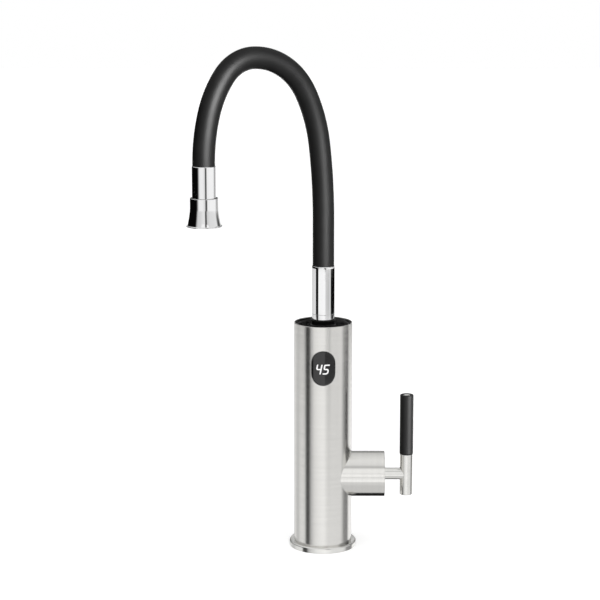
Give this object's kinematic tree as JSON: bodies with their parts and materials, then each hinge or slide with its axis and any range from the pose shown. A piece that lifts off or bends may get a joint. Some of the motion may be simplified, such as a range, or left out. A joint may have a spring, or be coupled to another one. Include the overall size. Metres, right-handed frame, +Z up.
{
  "type": "electric instant water heater tap",
  "caption": "Deck-mounted tap that heats water in its round steel body, with a temperature display, a side lever and a bendable hose spout ending in a turning bell nozzle.",
  "frame": {"origin": "on the worktop's top face, on the body tube's axis", "axes": "+Z up along the body, the display faces -Y, the handle is on the +X side"},
  "size_m": [0.1906, 0.1198, 0.4978],
  "materials": {
    "brushed_steel": "satin",
    "polished_steel": "satin",
    "chrome": "polished",
    "black_gloss": "gloss",
    "black_silicone": "satin",
    "black_grip": "satin",
    "dark_lens": "gloss",
    "lit_white": "lit",
    "brass": "satin",
    "copper": "satin",
    "seal_rubber": "matt",
    "white_plastic": "matt",
    "grey_plastic": "matt",
    "black_plastic": "matt",
    "board_green": "matt",
    "terminal_green": "matt",
    "ceramic": "polished",
    "element_sheath": "matt",
    "zinc_steel": "satin",
    "float_orange": "matt",
    "hose_lining": "matt"
  },
  "bodies": {
    "root": {"base_flange": "polished_steel", "base_gasket": "seal_rubber", "inlet_shank": "brass", "rubber_washer": "seal_rubber", "steel_washer": "zinc_steel", "fixing_nut": "brass", "cable_gland": "black_plastic", "body_shell": "brushed_steel", "valve_housing": "brushed_steel", "hub_cap": "brushed_steel", "top_cap": "black_gloss", "cap_seal": "seal_rubber", "ring_nut": "chrome", "display_lens": "dark_lens", "display_digits": "lit_white", "display_frame": "grey_plastic", "led_module": "white_plastic", "display_board": "board_green", "heater_tank": "zinc_steel", "tank_floor": "grey_plastic", "tank_lid": "grey_plastic", "heating_elements": "element_sheath", "thermal_cutout": "white_plastic", "temperature_probe": "zinc_steel", "feed_pipe": "copper", "outlet_pipe": "copper", "flow_tube": "white_plastic", "reed_switch": "board_green", "valve_manifold": "brass", "port_seals": "seal_rubber", "cartridge_body": "brass", "cartridge_cover": "grey_plastic", "clamp_ring": "brass", "fixed_disc": "ceramic", "control_board": "board_green", "power_relay": "black_plastic", "terminal_block": "terminal_green", "board_bracket": "white_plastic"},
    "float": {"flow_float": "float_orange"},
    "handle": {"moving_disc": "ceramic", "disc_carrier": "grey_plastic", "spindle": "zinc_steel", "handle_stem": "polished_steel", "handle_bar": "polished_steel", "handle_grip": "black_grip", "grub_screw": "zinc_steel"},
    "spout": {"swivel_stem": "brass", "swivel_seals": "seal_rubber", "hose_connector": "brass", "lower_collar": "chrome", "hose_sleeve": "black_silicone", "inner_hose": "hose_lining", "hose_core_lower": "zinc_steel"},
    "spout_end": {"hose_core_upper": "zinc_steel", "upper_collar": "chrome", "nozzle_connector": "brass", "nozzle_seal": "seal_rubber", "nozzle_clip": "zinc_steel"},
    "nozzle": {"nozzle_bell": "chrome", "aerator_cup": "black_plastic"}
  },
  "joints": [
    {"name": "float_slide", "type": "slide", "parent": "root", "child": "float", "axis": [0, 0, 1], "range_m": [0, 0.004]},
    {"name": "handle_turn", "type": "hinge", "parent": "root", "child": "handle", "pos_m": [0.06, 0, 0.0642], "axis": [1, 0, 0], "range_deg": [-90, 90]},
    {"name": "spout_swivel", "type": "hinge", "parent": "root", "child": "spout", "pos_m": [0, 0, 0.2], "axis": [0, 0, 1], "continuous": true},
    {"name": "hose_bend", "type": "hinge", "parent": "spout", "child": "spout_end", "pos_m": [-0.05763, -0.04502, 0.4285], "axis": [-0.6157, 0.788, 0], "range_deg": [-30, 45], "deforming": ["hose_sleeve", "inner_hose"]},
    {"name": "nozzle_twist", "type": "hinge", "parent": "spout_end", "child": "nozzle", "pos_m": [-0.09723, -0.07596, 0.31], "axis": [0, 0, 1], "range_deg": [0, 90]}
  ]
}
